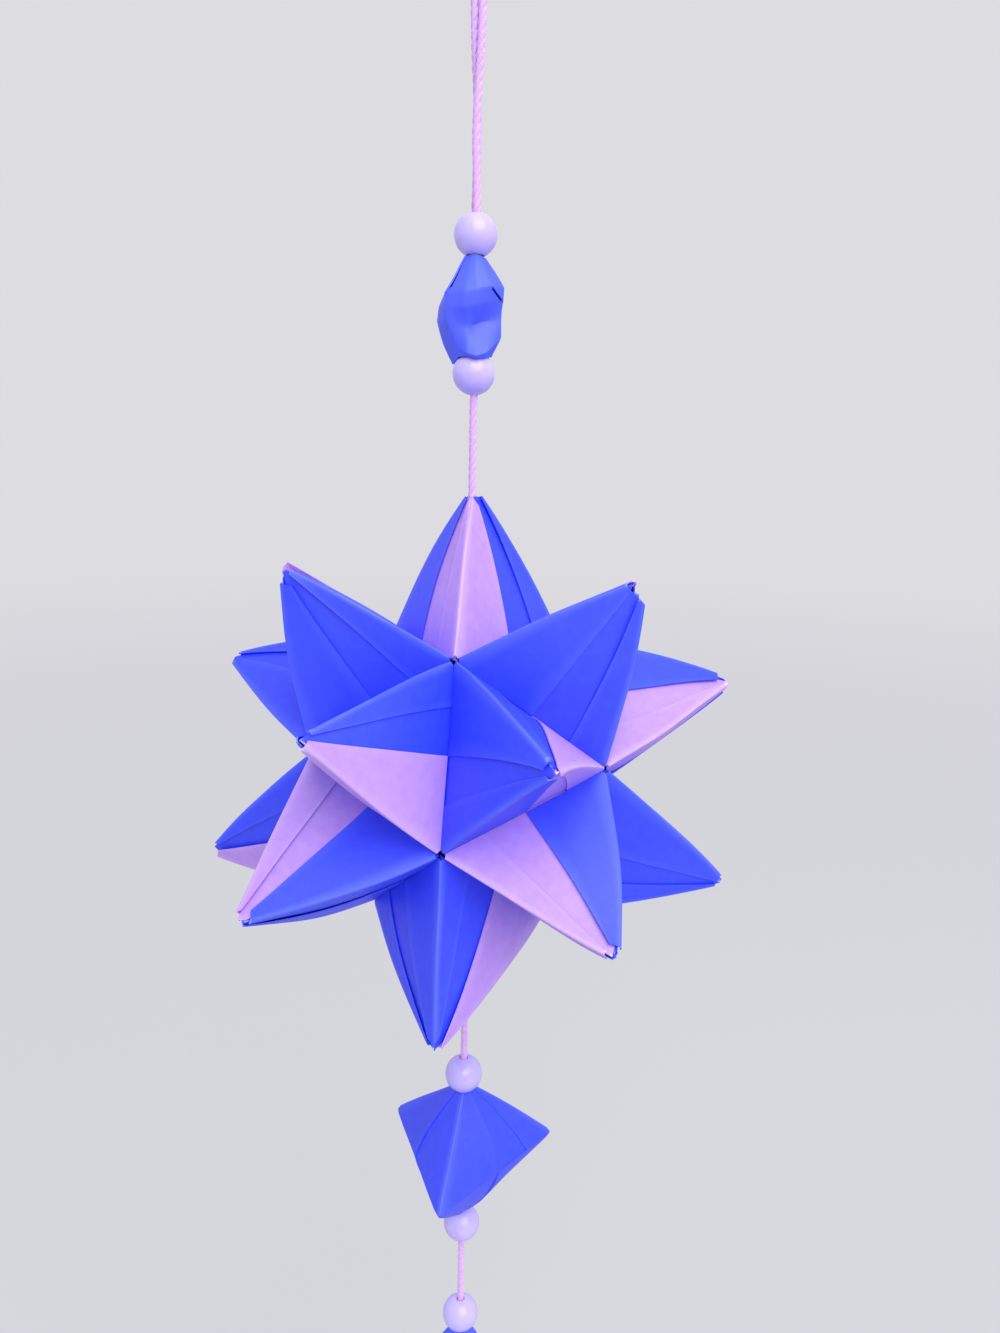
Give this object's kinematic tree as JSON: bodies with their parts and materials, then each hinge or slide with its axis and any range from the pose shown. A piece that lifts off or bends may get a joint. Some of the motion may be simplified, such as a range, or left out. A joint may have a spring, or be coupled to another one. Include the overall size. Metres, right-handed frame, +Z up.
{
  "type": "kusudama paper ball",
  "caption": "Hanging kusudama: a star ball of interlocked folded paper units on a yarn cord, with round beads, small paper barrels and a folded paper jewel below it.",
  "frame": {"origin": "inside of the top of the hanging loop, where it rests on the hook or nail it hangs from", "axes": "+Z up along the plumb line of the cord, -Y towards the viewer of the picture, +X to the viewer's right"},
  "size_m": [0.101, 0.0948, 0.3393],
  "materials": {
    "blue_paper": "matte",
    "lavender_paper": "matte",
    "lilac_beads": "gloss",
    "mauve_yarn": "matte"
  },
  "bodies": {
    "root": {"blue_unit_01": "blue_paper", "blue_unit_02": "blue_paper", "blue_unit_03": "blue_paper", "blue_unit_04": "blue_paper", "blue_unit_05": "blue_paper", "blue_unit_06": "blue_paper", "blue_unit_07": "blue_paper", "blue_unit_08": "blue_paper", "blue_unit_09": "blue_paper", "blue_unit_10": "blue_paper", "blue_unit_11": "blue_paper", "blue_unit_12": "blue_paper", "blue_unit_13": "blue_paper", "blue_unit_14": "blue_paper", "blue_unit_15": "blue_paper", "blue_unit_16": "blue_paper", "blue_unit_17": "blue_paper", "blue_unit_18": "blue_paper", "blue_unit_19": "blue_paper", "blue_unit_20": "blue_paper", "jewel_unit_1": "blue_paper", "jewel_unit_2": "blue_paper", "jewel_unit_3": "blue_paper", "upper_paper_barrel": "blue_paper", "lower_paper_barrel": "blue_paper", "pink_unit_01": "lavender_paper", "pink_unit_02": "lavender_paper", "pink_unit_03": "lavender_paper", "pink_unit_04": "lavender_paper", "pink_unit_05": "lavender_paper", "pink_unit_06": "lavender_paper", "pink_unit_07": "lavender_paper", "pink_unit_08": "lavender_paper", "pink_unit_09": "lavender_paper", "pink_unit_10": "lavender_paper", "round_beads": "lilac_beads", "yarn_cord": "mauve_yarn"}
  },
  "joints": []
}
